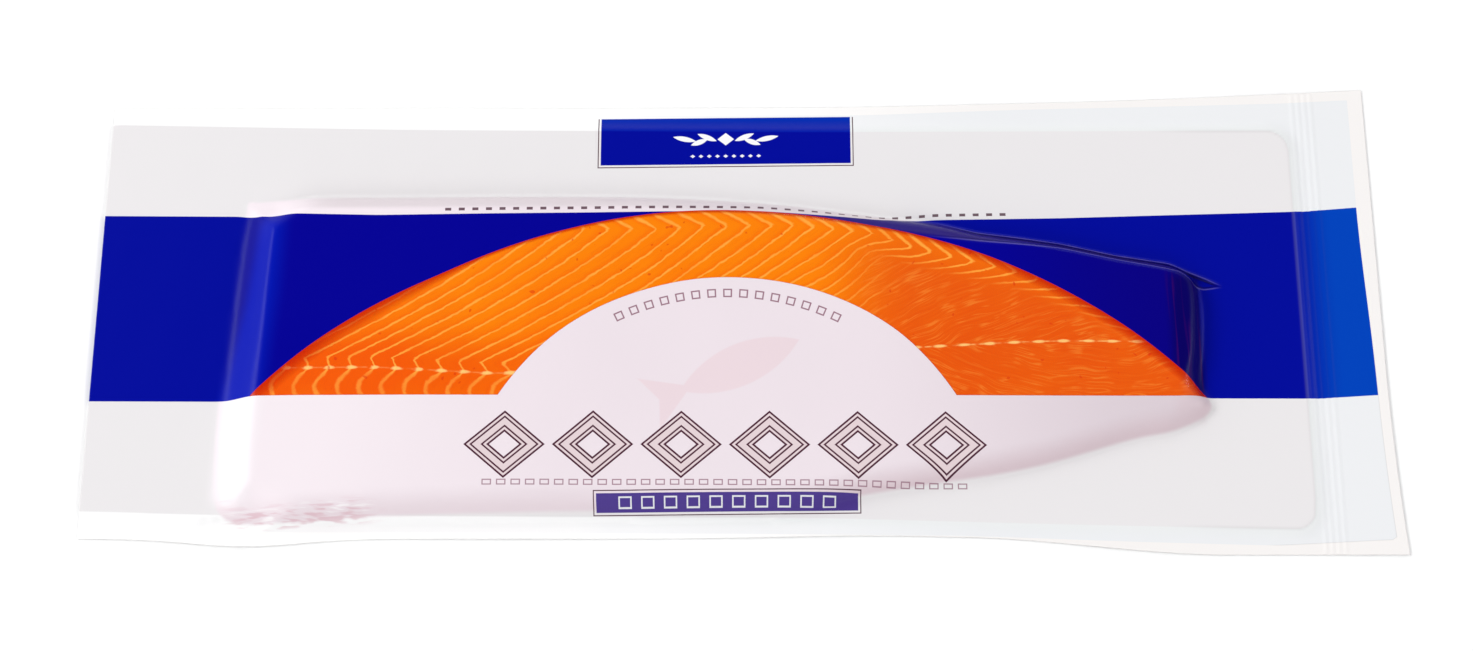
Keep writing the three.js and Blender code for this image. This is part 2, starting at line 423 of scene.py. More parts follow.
def pouch_heights(x, y):
    """Heights of the front film, which meets the back film at the pouch's rim."""
    back = lift(x, y)
    on_card = depth_inside_card(x, y)
    fish = fish_top(x, y, fish_outline)
    support = back + SEAL_GAP
    support = np.where(on_card > -CARD_CLEARANCE, CARD_TOP + GAP, support)
    support = np.maximum(support, np.where(fish > 0, CARD_TOP + 2 * GAP + fish, 0))
    pinned = (on_card < -SEAL_REACH) | (x < -HALF_LENGTH + 0.1)
    by_fish = 1 - smoothstep(-depth_inside(x, y, fish_outline), 4, 12)
    suction = SUCTION_AT_CARD + (SUCTION_AT_FISH - SUCTION_AT_CARD) * by_fish
    front = drape(x, y, support, pinned, suction)
    front += ribs(x) + far_pleat(x, y) + near_puckers(x, y)
    front += 0.03 * waves(x, y, 34, seed=5) * smoothstep(on_card, 0, 12)
    for edge in (np.s_[0, :], np.s_[-1, :], np.s_[:, 0], np.s_[:, -1]):
        front[edge] = back[edge]
    return front


# ======== Meshes ========

def rim_of(shape):
    """Indices of a grid's outer vertices, once round anticlockwise from above."""
    index = np.arange(shape[0] * shape[1]).reshape(shape)
    return np.concatenate([index[:-1, 0], index[-1, :-1], index[:0:-1, -1], index[0, :0:-1]])


def grid_faces(shape):
    index = np.arange(shape[0] * shape[1]).reshape(shape)
    quads = [index[:-1, :-1], index[1:, :-1], index[1:, 1:], index[:-1, 1:]]
    return np.stack([q.ravel() for q in quads], 1).tolist()


def backing(x, y, spacing):
    """Coarse faces that close a grid from below: points inside its rim and faces over both."""
    rim = rim_of(x.shape)
    outline = np.stack([x.ravel()[rim], y.ravel()[rim]], 1)
    low, high = outline.min(0), outline.max(0)
    grid_x, grid_y = np.meshgrid(
        np.arange(low[0] + spacing, high[0], spacing), np.arange(low[1] + spacing, high[1], spacing)
    )
    inside = depth_inside(grid_x, grid_y, outline[:: max(1, len(outline) // 240)]) > spacing * 0.6
    points = np.concatenate([outline, np.stack([grid_x[inside], grid_y[inside]], 1)])
    edges = [(i, (i + 1) % len(rim)) for i in range(len(rim))]
    found = geometry.delaunay_2d_cdt([Vector(p) for p in points], edges, [], 1, 1e-6)
    original = [group[0] for group in found[3]]
    faces = [[original[i] for i in reversed(face)] for face in found[2]]
    return rim, points[len(rim):], faces


def add_object(name, data):
    added = bpy.data.objects.new(name, data)
    bpy.context.scene.collection.objects.link(added)
    return added


def add_mesh(name, xy, z, faces):
    """A mesh object from places in millimetres."""
    mesh = bpy.data.meshes.new(name)
    vertices = np.concatenate([xy, z[:, None]], 1) * MM
    mesh.from_pydata(vertices.tolist(), [], faces)
    mesh.validate()
    return add_object(name, mesh)


def closed_piece(name, x, y, top, bottom, spacing):
    """A closed mesh from a grid of heights and a coarse back. Returns it and its vertices' X, Y."""
    rim, inner, faces = backing(x, y, spacing)
    count = x.size
    place = np.concatenate([rim, np.arange(count, count + len(inner))])
    xy = np.concatenate([np.stack([x.ravel(), y.ravel()], 1), inner])
    z = np.concatenate([top.ravel(), bottom(inner[:, 0], inner[:, 1])])
    back_faces = [[int(place[i]) for i in face] for face in faces]
    piece = add_mesh(name, xy, z, grid_faces(x.shape) + back_faces)
    piece.data.shade_smooth()
    return piece, xy


def store(piece, name, *columns):
    """Keeps up to three numbers for each vertex, for the material to read."""
    values = np.zeros((len(piece.data.vertices), 3), np.float32)
    for k, column in enumerate(columns):
        values[:, k] = column
    layer = piece.data.attributes.new(name, "FLOAT_VECTOR", "POINT")
    layer.data.foreach_set("vector", values.ravel())


# ======== Fields: numbers that vary over a surface, as shader nodes ========

def by_math(operation):
    """A method that joins a field with others by one kind of Math node."""
    return lambda field, *others: field.math(operation, *others)


class Field:
    """A number from a shader socket, for writing sums as if it were a plain number."""

    def __init__(self, tree, socket):
        self.tree = tree
        self.socket = socket

    def math(self, operation, *others):
        node = self.tree.nodes.new("ShaderNodeMath")
        node.operation = operation
        for slot, value in zip(node.inputs, (self, *others)):
            plug(self.tree, slot, value)
        return Field(self.tree, node.outputs[0])

    __add__ = __radd__ = by_math("ADD")
    __sub__ = by_math("SUBTRACT")
    __mul__ = __rmul__ = by_math("MULTIPLY")
    __truediv__ = by_math("DIVIDE")
    __abs__ = by_math("ABSOLUTE")
    least = by_math("MINIMUM")
    most = by_math("MAXIMUM")
    fraction = by_math("FRACT")

    def __rsub__(self, other):
        return (self * -1) + other

    def step(self, low, high):
        """0 below low and 1 above high, smooth between; low may be the greater of the two."""
        node = self.tree.nodes.new("ShaderNodeMapRange")
        node.interpolation_type = "SMOOTHSTEP"
        flip = low > high
        plug(self.tree, node.inputs["Value"], self)
        node.inputs["From Min"].default_value = min(low, high)
        node.inputs["From Max"].default_value = max(low, high)
        node.inputs["To Min"].default_value = 1.0 if flip else 0.0
        node.inputs["To Max"].default_value = 0.0 if flip else 1.0
        return Field(self.tree, node.outputs["Result"])


def plug(tree, slot, value):
    if isinstance(value, Field):
        tree.links.new(value.socket, slot)
    else:
        slot.default_value = value


def hypot(a, b):
    return (a * a + b * b).math("SQRT")


def stored(tree, name):
    """The three numbers kept under a name on the vertices."""
    node = tree.nodes.new("ShaderNodeAttribute")
    node.attribute_name = name
    parts = tree.nodes.new("ShaderNodeSeparateXYZ")
    tree.links.new(node.outputs["Vector"], parts.inputs[0])
    return [Field(tree, parts.outputs[k]) for k in range(3)]


def grain(tree, x, y, size, detail=2.0, z=0.0):
    """Noise from 0 to 1 whose features are about size across."""
    combined = tree.nodes.new("ShaderNodeCombineXYZ")
    for slot, value in zip(combined.inputs, (x, y, z)):
        plug(tree, slot, value)
    node = tree.nodes.new("ShaderNodeTexNoise")
    node.inputs["Scale"].default_value = 1 / size
    node.inputs["Detail"].default_value = detail
    tree.links.new(combined.outputs[0], node.inputs["Vector"])
    return Field(tree, node.outputs["Fac"])


def blend(tree, below, above, share):
    """One colour over another. Either may be a plain colour or a colour socket."""
    node = tree.nodes.new("ShaderNodeMix")
    node.data_type = "RGBA"
    plug(tree, node.inputs["Factor"], share)
    for name, colour in (("A", below), ("B", above)):
        slot = next(s for s in node.inputs if s.name == name and s.type == "RGBA")
        if isinstance(colour, tuple):
            slot.default_value = (*colour, 1)
        else:
            tree.links.new(colour, slot)
    return next(s for s in node.outputs if s.type == "RGBA")


def layered(tree, colour, *layers):
    """A colour with others laid over it in turn. A layer is a colour and its share."""
    for above, share in layers:
        colour = blend(tree, colour, above, share)
    return colour


def new_material(name):
    material = bpy.data.materials.new(name)
    material.use_nodes = True
    tree = material.node_tree
    shader = tree.nodes["Principled BSDF"]
    return material, tree, shader


def set_surface(tree, shader, colour, roughness, specular=0.5):
    """A colour socket all over a surface, with plain numbers for its gloss."""
    tree.links.new(colour, shader.inputs["Base Color"])
    shader.inputs["Roughness"].default_value = roughness
    shader.inputs["Specular IOR Level"].default_value = specular


def relief(tree, shader, height, depth):
    node = tree.nodes.new("ShaderNodeBump")
    node.inputs["Strength"].default_value = 1.0
    node.inputs["Distance"].default_value = depth * MM
    plug(tree, node.inputs["Height"], height)
    tree.links.new(node.outputs[0], shader.inputs["Normal"])


# ======== The print ========

# Edges of the blue band and of all print, as Y for each X, where the film lies.
band_far_edge = smooth_line([
    (-323, 52.2), (-254, 51.8), (-236, 49.4), (-182, 48.4), (9, 51), (69, 47.4), (97, 50),
    (160, 51), (278, 54.5), (312, 57.4),
], 4)
band_near_edge = smooth_line([
    (-323, -45.3), (-259, -45.5), (-216, -44.8), (0, -44.4), (214, -44.5), (228, -43.8),
    (279, -43.9), (314, -41.7),
], 4)
print_far_edge = smooth_line([
    (-323, 107), (9, 107.8), (62, 108), (150, 111.2), (278, 114.4), (315, 116.6),
])
print_near_edge = smooth_line([
    (-323, -110.5), (-1, -111.6), (111, -112.7), (187, -115.5), (258, -117.4), (317, -114.4),
])

OUTER_ARC = (-7.5, -272.6, 323.5)  # middle X and Y, and radius
INNER_ARC = (-7.5, -117.2, 132.7)
outer_arc_shift = smooth_line([  # how far the print was stretched out of those circles
    (-330, 3), (-215, 2.6), (-150, -0.8), (-70, 0.4), (60, 0.4), (120, 3.4), (190, 5.3), (240, 5.2),
])
inner_arc_shift = smooth_line([
    (-330, 0.4), (-98, 1.1), (-44, 0), (0, 0.1), (78, 2), (105, 0.9), (330, 0.8),
])
UPPER_PLAQUE = (-8.6, 92.6, 130.4, 27.6)  # middle X and Y, width and height
LOWER_PLAQUE = (-7.5, -97.1, 130, 11)
PLAQUE_SKEW = 0.0107
TITLE_ROW = (-8.5, -69.6, 6, 43.0, 17.0)  # middle X and Y, how many, spacing, half height
EMBLEM = (-7.0, -32.0, 24.0)  # middle X and Y, and tilt in degrees

WHITE_ON_CARD = (0.765, 0.745, 0.753)
WHITE_ON_HEAD = (0.85, 0.77, 0.81)  # where it lies on the fish, paler at the head end
WHITE_ON_MIDDLE = (0.785, 0.70, 0.745)
WHITE_ON_TAIL = (0.645, 0.56, 0.605)
# painted shade on the slope towards the near side, and on the tail end's slope
WHITE_SLOPE_SHADE = (0.64, 0.51, 0.55)
# painted shade on the far slope
WHITE_FAR_SLOPE_SHADE = (0.60, 0.54, 0.56)
WHITE_BY_CARD = (0.785, 0.80, 0.80)  # in the margins, beside the card
WHITE_IN_MARGIN = (0.79, 0.80, 0.815)
WHITE_INK_AND_PAINTED_LIGHT = (0.93, 0.925, 0.925)  # white ink; in the margins of the fold's half it is painted light, and on the gathers by the head a painted highlight
# painted highlight on the head end's slope, which faces the lamp on the left
HEAD_SLOPE_HIGHLIGHT = (0.86, 0.815, 0.845)
CLEAR_RIM = (0.86, 0.835, 0.82)
# the unprinted rim with painted light, paler towards the fold
CLEAR_RIM_LIT_BY_FOLD = (0.97, 0.965, 0.955)
BLUE_ON_CARD = (0.0003, 0.003, 0.30)
BLUE_ON_FISH = (0.0008, 0.0003, 0.27)
BLUE_ON_TAIL = (0.002, 0.0, 0.20)
# painted shade on the tail end's steep slope, which faces away from the lamp on the left
BLUE_TAIL_SLOPE_SHADE = (0.002, 0.0, 0.105)
# painted shade with a painted reflection of the pale surroundings, on the far slope
BLUE_FAR_SLOPE_SHADE_AND_SHEEN = (0.030, 0.014, 0.13)
BLUE_BY_CARD = (0.001, 0.012, 0.36)
BLUE_IN_MARGIN = (0.0, 0.052, 0.46)
# painted highlight in the blue on the head end's slope
BLUE_HEAD_SLOPE_HIGHLIGHT = (0.0, 0.008, 0.41)
# painted highlights and painted shade along the pleat's crests
CREASE_HIGHLIGHT = (0.17, 0.14, 0.42)
CREASE_SHADE = (0.003, 0.0, 0.06)
STREAK_RED = (0.035, 0.001, 0.11)
MAROON = (0.07, 0.015, 0.035)
MAUVE = (0.30, 0.16, 0.21)
PLAQUE_MAUVE = (0.07, 0.04, 0.24)
PINK_FILL = (0.72, 0.60, 0.62)
EMBLEM_PINK = (0.77, 0.62, 0.66)
# the print's edge over the flesh, with painted shadow under it
WINDOW_EDGE_RED_AND_SHADOW = (0.66, 0.020, 0.002)
EDGE_SHADE = (0.30, 0.29, 0.30)
# painted shade in the gathered film by the head
PUCKER_SHADE_PINK = (0.66, 0.42, 0.48)
INK_SOFTNESS = 0.12


def ink(distance, softness=INK_SOFTNESS):
    """1 inside a shape and 0 outside, from the signed distance to its edge."""
    return distance.step(softness, -softness)


def box(x, y, middle_x, middle_y, width, height):
    return (abs(x - middle_x) - width / 2).most(abs(y - middle_y) - height / 2)


def line(distance, offset, width):
    """A line of some width that follows a shape's edge at an offset."""
    return abs(distance - offset) - width / 2


def repeated(x, middle, count, spacing):
    """X measured from the nearest of a row of places, and 1 where the row reaches."""
    along = (x - (middle - count * spacing / 2)) / spacing
    inside = abs(along - count / 2).step(count / 2 + 0.001, count / 2 - 0.001)
    return (along.fraction() - 0.5) * spacing, inside


def lozenge(x, y, half_width, half_height):
    across = abs(x) / half_width + abs(y) / half_height - 1
    return across * (half_width * half_height / math.hypot(half_width, half_height))


def lens(x, y, length, height):
    """Two arcs that meet in points at both ends."""
    radius = (length * length / 4 + height * height / 4) / height
    return hypot(x, abs(y) + (radius - height / 2)) - radius


def turned(x, y, middle_x, middle_y, degrees):
    c, s = math.cos(math.radians(degrees)), math.sin(math.radians(degrees))
    along = (x - middle_x) * c + (y - middle_y) * s
    across = (y - middle_y) * c - (x - middle_x) * s
    return along, across


def emblem(x, y):
    """A plain fish: a lens for its body and a forked wedge for its tail."""
    along, across = turned(x, y, *EMBLEM)
    body = lens(along - 6, across, 64, 21)
    tail = (abs(across) - (along * -0.62 - 12.5)).most(abs(across) * -0.4 - along - 37)
    return body.least(tail)


def draw_title_row(tree, colour, x, y):
    """Lozenge frames with double outlines, in place of a title."""
    middle_x, middle_y, count, spacing, half = TITLE_ROW
    across, inside = repeated(x, middle_x, count, spacing)
    outer = lozenge(across, y - middle_y, spacing * 0.46, half)
    inner = lozenge(across, y - middle_y, spacing * 0.17, half * 0.37)
    frame_shape = outer.most(inner * -1)
    colour = blend(tree, colour, PINK_FILL, ink(frame_shape) * inside)
    outlines = line(frame_shape, -0.45, 0.9).least(line(frame_shape, -2.3, 0.8))
    return blend(tree, colour, MAROON, ink(outlines) * inside)


def draw_row(tree, colour, x, y, row, tone, strength):
    """A row of small open boxes: middle X and Y, how many, spacing, width, height, stroke."""
    middle_x, middle_y, count, spacing, width, height, stroke = row
    across, inside = repeated(x, middle_x, count, spacing)
    mark = box(across, y, 0, middle_y, width, height)
    return blend(tree, colour, tone, ink(line(mark, -stroke / 2, stroke)) * inside * strength)


def draw_ornaments(tree, colour, x, y, past_band):
    """Plain marks where a pack carries its wording: nothing here can be read."""
    colour = blend(tree, colour, EMBLEM_PINK, ink(emblem(x, y), 0.6) * 0.75)
    colour = draw_title_row(tree, colour, x, y)
    colour = draw_row(tree, colour, x, y, (-8.5, -88.4, 34, 7.0, 4.6, 2.9, 0.55), MAUVE, 0.9)
    colour = draw_row(tree, colour, x, past_band, (-8.0, 2.5, 42, 6.8, 3.0, 1.5, 0.8), MAROON, 0.9)
    arc_x, arc_y, _ = INNER_ARC
    reach = hypot(x - arc_x, y - arc_y)
    turn = (x - arc_x).math("ARCTAN2", y - arc_y) * 124.5
    return draw_row(tree, colour, turn, reach, (0, 124.5, 15, 7.9, 4.4, 4.4, 0.7), MAUVE, 1.0)


def draw_plaque(tree, colour, x, y, plaque, blue, pale, far_line):
    """A blue plaque with a white line and a thin dark line round it. Its far side may have none."""
    middle_x, middle_y, width, height = plaque
    level = y - (x - middle_x) * PLAQUE_SKEW
    colour = blend(tree, colour, MAROON, ink(box(x, level, middle_x, middle_y, width, height)))
    for inset, tone in ((0.5, pale), (1.5, blue)):
        shift = 0 if far_line else inset / 2
        inner_height = height - 2 * inset + 2 * shift
        inner = box(x, level, middle_x, middle_y + shift, width - 2 * inset, inner_height)
        colour = blend(tree, colour, tone, ink(inner))
    return colour, level


def draw_upper_plaque(tree, colour, x, y, blue, pale):
    """The plaque at the far side, with a plain flourish in its middle."""
    middle_x, middle_y, _, _ = UPPER_PLAQUE
    colour, level = draw_plaque(tree, colour, x, y, UPPER_PLAQUE, blue, pale, False)
    along, across = x - middle_x, level - middle_y - 1.5
    aside = abs(along)
    sprig = lozenge(along, across, 4.2, 3.4)
    for reach, rise, tilt, length in ((9.5, 1.0, 22, 10.5), (13.5, -1.6, -20, 9), (21, 0.2, 12, 12)):
        sprig = sprig.least(lens(*turned(aside, across, reach, rise, tilt), length, 2.7))
    dot_x, inside = repeated(along, 0, 9, 4.2)
    dot = lozenge(dot_x, level - (middle_y - 7.8), 1.2, 0.9)
    colour = blend(tree, colour, WHITE_INK_AND_PAINTED_LIGHT, ink(sprig) * 0.95)
    return blend(tree, colour, WHITE_INK_AND_PAINTED_LIGHT, ink(dot) * inside * 0.9)


def draw_lower_plaque(tree, colour, x, y, blue, pale):
    """The narrow plaque at the near side, with a row of open boxes."""
    middle_x, middle_y, _, _ = LOWER_PLAQUE
    colour, level = draw_plaque(tree, colour, x, y, LOWER_PLAQUE, blue, pale, True)
    row = (middle_x, middle_y, 10, 11.0, 6.4, 5.0, 0.7)
    return draw_row(tree, colour, x, level, row, WHITE_IN_MARGIN, 0.9)


# ======== What the film shows of the things under it, and painted light and shade ===

def white_ground(tree, x, card, fish, painted_slope_light):
    """The white print: greyer over the card, pink over the fish, palest where nothing is behind;
    painted light pales the margins towards the fold, with painted shade on the fish's near, far and
    tail-end slope and a painted highlight on its head end's slope.
    """
    head, tail, near_slope_shade, far_slope_shade_and_sheen = painted_slope_light
    by_card = (card * -1).step(-1, 6)
    # Painted light: the margins grow paler towards the fold, where the light is strongest.
    lit_towards_fold = x.step(140, -110)
    margin = blend(tree, WHITE_IN_MARGIN, WHITE_INK_AND_PAINTED_LIGHT, lit_towards_fold)
    margin = blend(tree, WHITE_BY_CARD, margin, by_card.most(lit_towards_fold * 0.9))
    on_card = card.step(-0.35, 0.35)
    white = blend(tree, margin, WHITE_ON_CARD, on_card)
    over_fish = layered(
        tree, WHITE_ON_HEAD,
        (WHITE_ON_MIDDLE, x.step(-235, -70)),
        (WHITE_ON_TAIL, x.step(40, 225)),
        (WHITE_SLOPE_SHADE, near_slope_shade * (x.step(-60, 90) * 0.47 + 0.4)),
        (WHITE_FAR_SLOPE_SHADE, far_slope_shade_and_sheen * 0.6),
    )
    return layered(
        tree, white,
        (over_fish, fish.step(-1.6, 0.8)),
        (HEAD_SLOPE_HIGHLIGHT, head),
        (WHITE_SLOPE_SHADE, tail * 0.45),
    )


def blue_ground(tree, x, y, card, fish, painted_slope_light):
    """The blue print: brighter with nothing behind it, and darkest over the tail's end, where its slope
    has painted shade; a painted highlight on the head end's slope and painted shade and reflection on
    the far slope.
    """
    head, tail, _, far_slope_shade_and_sheen = painted_slope_light
    margin = blend(tree, BLUE_BY_CARD, BLUE_IN_MARGIN, (card * -1).step(0, 20))
    over_fish = blend(tree, BLUE_ON_FISH, BLUE_ON_TAIL, x.step(90, 215))
    streak = grain(tree, x + y * 0.03, y * 0.03, 1.5, 1).step(0.55, 0.72) * tail
    return layered(
        tree, margin,
        (BLUE_ON_CARD, card.step(-0.35, 0.35)),
        (over_fish, fish.step(-1.5, 5)),
        (BLUE_HEAD_SLOPE_HIGHLIGHT, head),
        (BLUE_TAIL_SLOPE_SHADE, tail),
        (STREAK_RED, streak * 0.8),
        (BLUE_FAR_SLOPE_SHADE_AND_SHEEN, far_slope_shade_and_sheen * x.step(10, 60) * 0.7),
    )


def draw_creases(tree, colour, creases):
    """Painted highlights along the crests where the film is sharply folded, with a line of painted
    shade along each.
    """
    outer, inner, reach = creases
    return layered(
        tree, colour,
        (CREASE_SHADE, ink(line(outer, -1.0, 1.0), 0.35) * reach * 0.8),
        (CREASE_SHADE, ink(line(inner, 0.9, 0.8), 0.35) * reach * 0.6),
        (CREASE_HIGHLIGHT, ink(line(outer, -0.1, 0.3), 0.25) * reach * 0.7),
        (CREASE_HIGHLIGHT, ink(line(inner, 0, 0.5), 0.35) * reach * 0.55),
    )


def schlick(tree, facing_share, grazing_share):
    """How much a clear film mirrors, more towards grazing, the same from both sides."""
    weight = tree.nodes.new("ShaderNodeLayerWeight")
    weight.inputs["Blend"].default_value = 0.5
    tilt = Field(tree, weight.outputs["Facing"])
    return tilt.math("POWER", 5.0) * (grazing_share - facing_share) + facing_share


def mix_shaders(tree, below, above, share):
    node = tree.nodes.new("ShaderNodeMixShader")
    plug(tree, node.inputs[0], share)
    tree.links.new(below.outputs[0], node.inputs[1])
    tree.links.new(above.outputs[0], node.inputs[2])
    return node


def film_material():
    material, tree, solid = new_material("film")
    x, y, rim = stored(tree, "flat")
    card, fish, _ = stored(tree, "under")
    past_band, short_of_band, past_mouth = stored(tree, "band")
    # Masks of a painted highlight on the head end's slope and painted shade on the tail end's and the
    # near slope.
    head, tail, near_slope_shade = stored(tree, "painted_slope_light")
    outer_fold, inner_fold, fold_reach = stored(tree, "folds")
    # Masks of painted shade on the far slope, a painted shadow along the card's edge and a line where
    # the print ends by the mouth.
    far_slope_shade_and_sheen, card_edge_shadow, by_mouth = stored(tree, "tones")
    painted_slope_light = (head, tail, near_slope_shade, far_slope_shade_and_sheen)

    white = white_ground(tree, x, card, fish, painted_slope_light)
    blue = blue_ground(tree, x, y, card, fish, painted_slope_light)
    blue = draw_creases(tree, blue, (outer_fold, inner_fold, fold_reach))

    band = past_band.most(short_of_band).most(past_mouth)
    outside_arc, outside_arch, pucker = stored(tree, "arcs")
    inside_arch = outside_arch * -1
    arch = (short_of_band - 1).most(outside_arch)
    window = outside_arc.most(short_of_band).most(inside_arch)

    colour = blend(tree, white, blue, ink(band))
    colour = blend(tree, colour, white, ink(arch))
    colour = draw_ornaments(tree, colour, x, y, past_band)
    colour = draw_upper_plaque(tree, colour, x, y, blue, white)
    colour = draw_lower_plaque(tree, colour, x, y, PLAQUE_MAUVE, white)
    # The unprinted rim has painted light that makes it paler towards the fold.
    clear_rim = blend(tree, CLEAR_RIM, CLEAR_RIM_LIT_BY_FOLD, x.step(150, -60))
    gathers = grain(tree, x * 0.16 + y * 0.3, y - x * 0.06, 2.4, 2)
    in_window = ink(window)
    colour = layered(
        tree, clear_rim,
        (colour, ink(rim * -1, 0.2)),
        # A painted shadow along the card's edge towards the mouth.
        (EDGE_SHADE, card_edge_shadow * 0.5),
        (EDGE_SHADE, ink(line(rim, 0, 0.3), 0.2) * by_mouth * 0.3),
        # Painted shade in the gathered folds by the head, with painted highlights between them.
        (PUCKER_SHADE_PINK, gathers.step(0.48, 0.62) * pucker * 0.7),
        (WHITE_INK_AND_PAINTED_LIGHT, gathers.step(0.45, 0.34) * pucker * 0.6),
        # Round the window the film shows a dark red edge: a thin core at the print's edge and a wider
        # painted shadow.
        (WINDOW_EDGE_RED_AND_SHADOW, in_window),
    )

    # A wider band of painted shadow inside the window's edge, widest towards the head, round a thin
    # core at the print's edge.
    rim_width = x.step(-120, -190) * 5.5 + x.step(70, 150) * 3.5 + 1.8
    red_rim_shadow = (outside_arc / rim_width + 1).most(0)
    red_core = outside_arc.step(-1.0, -0.1)
    opacity = (1 - in_window).most((red_rim_shadow * 0.75).most(red_core * 0.85) * in_window)

    set_surface(tree, solid, colour, 0.32, 0.08)
    ripple = grain(tree, x, y, 11, 2) + grain(tree, x, y * 0.4, 2.6, 1) * 0.12
    relief(tree, solid, ripple, 0.03)

    see_through = tree.nodes.new("ShaderNodeBsdfTransparent")
    gloss = tree.nodes.new("ShaderNodeBsdfGlossy")
    gloss.inputs["Roughness"].default_value = 0.12
    clear = mix_shaders(tree, see_through, gloss, schlick(tree, 0.012, 0.5))
    whole = mix_shaders(tree, clear, solid, opacity)
    tree.links.new(whole.outputs[0], tree.nodes["Material Output"].inputs["Surface"])
    return material


def film_back_material():
    """The plain back of the pouch, with the band carried round the fold."""
    material, tree, shader = new_material("film_back")
    x, y, rim = stored(tree, "flat")
    card, _, _ = stored(tree, "under")
    past_band, short_of_band, past_mouth = stored(tree, "band")
    on_card = card.step(-0.6, 0.6)
    pressed = grain(tree, x, y, 14, 3).step(0.1, 0.5)
    white = blend(tree, WHITE_IN_MARGIN, WHITE_ON_CARD, on_card * pressed)
    blue = blend(tree, BLUE_IN_MARGIN, BLUE_ON_CARD, on_card)
    band = past_band.most(short_of_band).most(past_mouth)
    colour = blend(tree, white, blue, ink(band))
    colour = blend(tree, CLEAR_RIM, colour, ink(rim * -1, 0.2))
    set_surface(tree, shader, colour, 0.3)
    relief(tree, shader, grain(tree, x, y, 8, 2), 0.06)
    return material


# ======== The flesh ========

seam_line = smooth_line([
    (-260, -31.5), (-183, -30.7), (-120, -34), (-50, -30), (40, -23), (134, -17.5), (160, -16.6),
    (240, -17.5),
])
turn_line = smooth_line([
    (-260, 41), (-42, 41), (-19, 43), (26, 43.5), (64, 39.5), (84, 32), (137, 19), (168, 7),
    (204, -13), (240, -28),
], 5)
flake_number = smooth_line([  # how many flakes have turned by each X
    (-330, -20.5), (-110, 0), (-79, 3), (-19, 8), (26, 12), (65, 16), (104, 20), (330, 41),
])


def flake_run(x, y):
    """How far along the fish a line has run at a point since the line where the flakes turn."""
    below, beyond = np.maximum(turn_line(x) - y, 0), np.maximum(y - turn_line(x), 0)
    long_run = FLAKE_SLANT * below + FLAKE_BEND * below ** 2
    flattened = np.minimum(below, 10)
    short_run = 0.35 * flattened + 0.1 * flattened ** 2 + FLAKE_SLANT * below
    return long_run + (short_run - long_run) * smoothstep(x, 40, 75) + BACK_SLANT * beyond


def flake_phase(x, y):
    """A number that is whole along each pale line between the flakes."""
    seam = seam_line(x)
    hook_y = seam + SEAM_HOOK
    hook = np.interp(x, [-210, -110], SEAM_HOOK_SLANT) * np.clip(hook_y - y, 0, SEAM_HOOK)
    below = np.clip((seam - y) / BELLY_BOW_WIDTH, 0, 1.3)
    bow = np.interp(x, [-200, -110], BELLY_BOW) * np.sin(np.pi * below)
    return flake_number(x + flake_run(x, np.maximum(y, hook_y)) - hook + bow)


def flake_gradient(x, y, reach=0.4):
    across = flake_phase(x + reach, y) - flake_phase(x - reach, y)
    along = flake_phase(x, y + reach) - flake_phase(x, y - reach)
    return np.hypot(across, along) / (2 * reach)


def tail_flow(x, y):
    """A number that is the same along each fine fibre towards the tail."""
    above = y - 0.55 * (x - 70) + 0.0016 * (x - 70) ** 2
    below = y + 0.4 * (x - 110) - 0.003 * (x - 110) ** 2
    return np.where(y > seam_line(x), above, below)


FLESH_BRIGHT = (0.93, 0.220, 0.001)
FLESH_DEEP = (0.86, 0.100, 0.001)
FLESH_TAIL = (0.78, 0.092, 0.003)
FLESH_RED = (0.70, 0.035, 0.003)
FAT = (0.97, 0.41, 0.055)
SEAM_FAT = (0.97, 0.62, 0.20)
KNOTS = (97.0, 12.2)  # X of the first pale knot on the seam, and their spacing


def flake_lines(tree, x, y, phase, pitch, seam, turn, right):
    """Pale lines between the flakes: how pale each point is, and how far it is past a line."""
    wobble = (grain(tree, x, y, 9, 2) - 0.5) * 0.26 + (grain(tree, x, y, 2.6, 1) - 0.5) * 0.14
    swing = (phase + wobble).fraction()
    to_line = swing.least(1 - swing) * pitch
    on_belly = seam.step(-1, -4) * (1 - right)
    beyond_turn = turn.step(1, -2)
    width = grain(tree, x, y, 6, 2, 4.0) * 0.8 + on_belly * 0.7 + beyond_turn * 0.4 + 0.2
    pale = (to_line / width).step(1.25, 0.2)
    strength = (grain(tree, x, y, 13, 2, 9.0) * 1.3 + 0.25).least(1) * (1 - on_belly * 0.35)
    return pale * strength * (1 - right * turn.step(4, 11)), swing, to_line


def seam_marks(tree, x, y, seam, to_line, right):
    """The pale seam: small stars where lines meet it, and long knots towards the tail."""
    star = hypot(to_line / 2.4, seam / 1.1).step(1.15, 0.4) * (1 - right)
    first, spacing = KNOTS
    to_knot = abs(((x - first) / spacing + 0.5).fraction() - 0.5) * spacing
    knot_height = grain(tree, x, y, 9, 0, 5.0) * 0.9 + 0.5
    knot = hypot(to_knot / 3.9, seam / knot_height).step(1.1, 0.4) * right
    thread = abs(seam).step(0.55, 0.1) * (right * 0.4 + 0.25) * grain(tree, x, y, 5, 1).step(0.3, 0.6)
    return star.most(knot).most(thread)


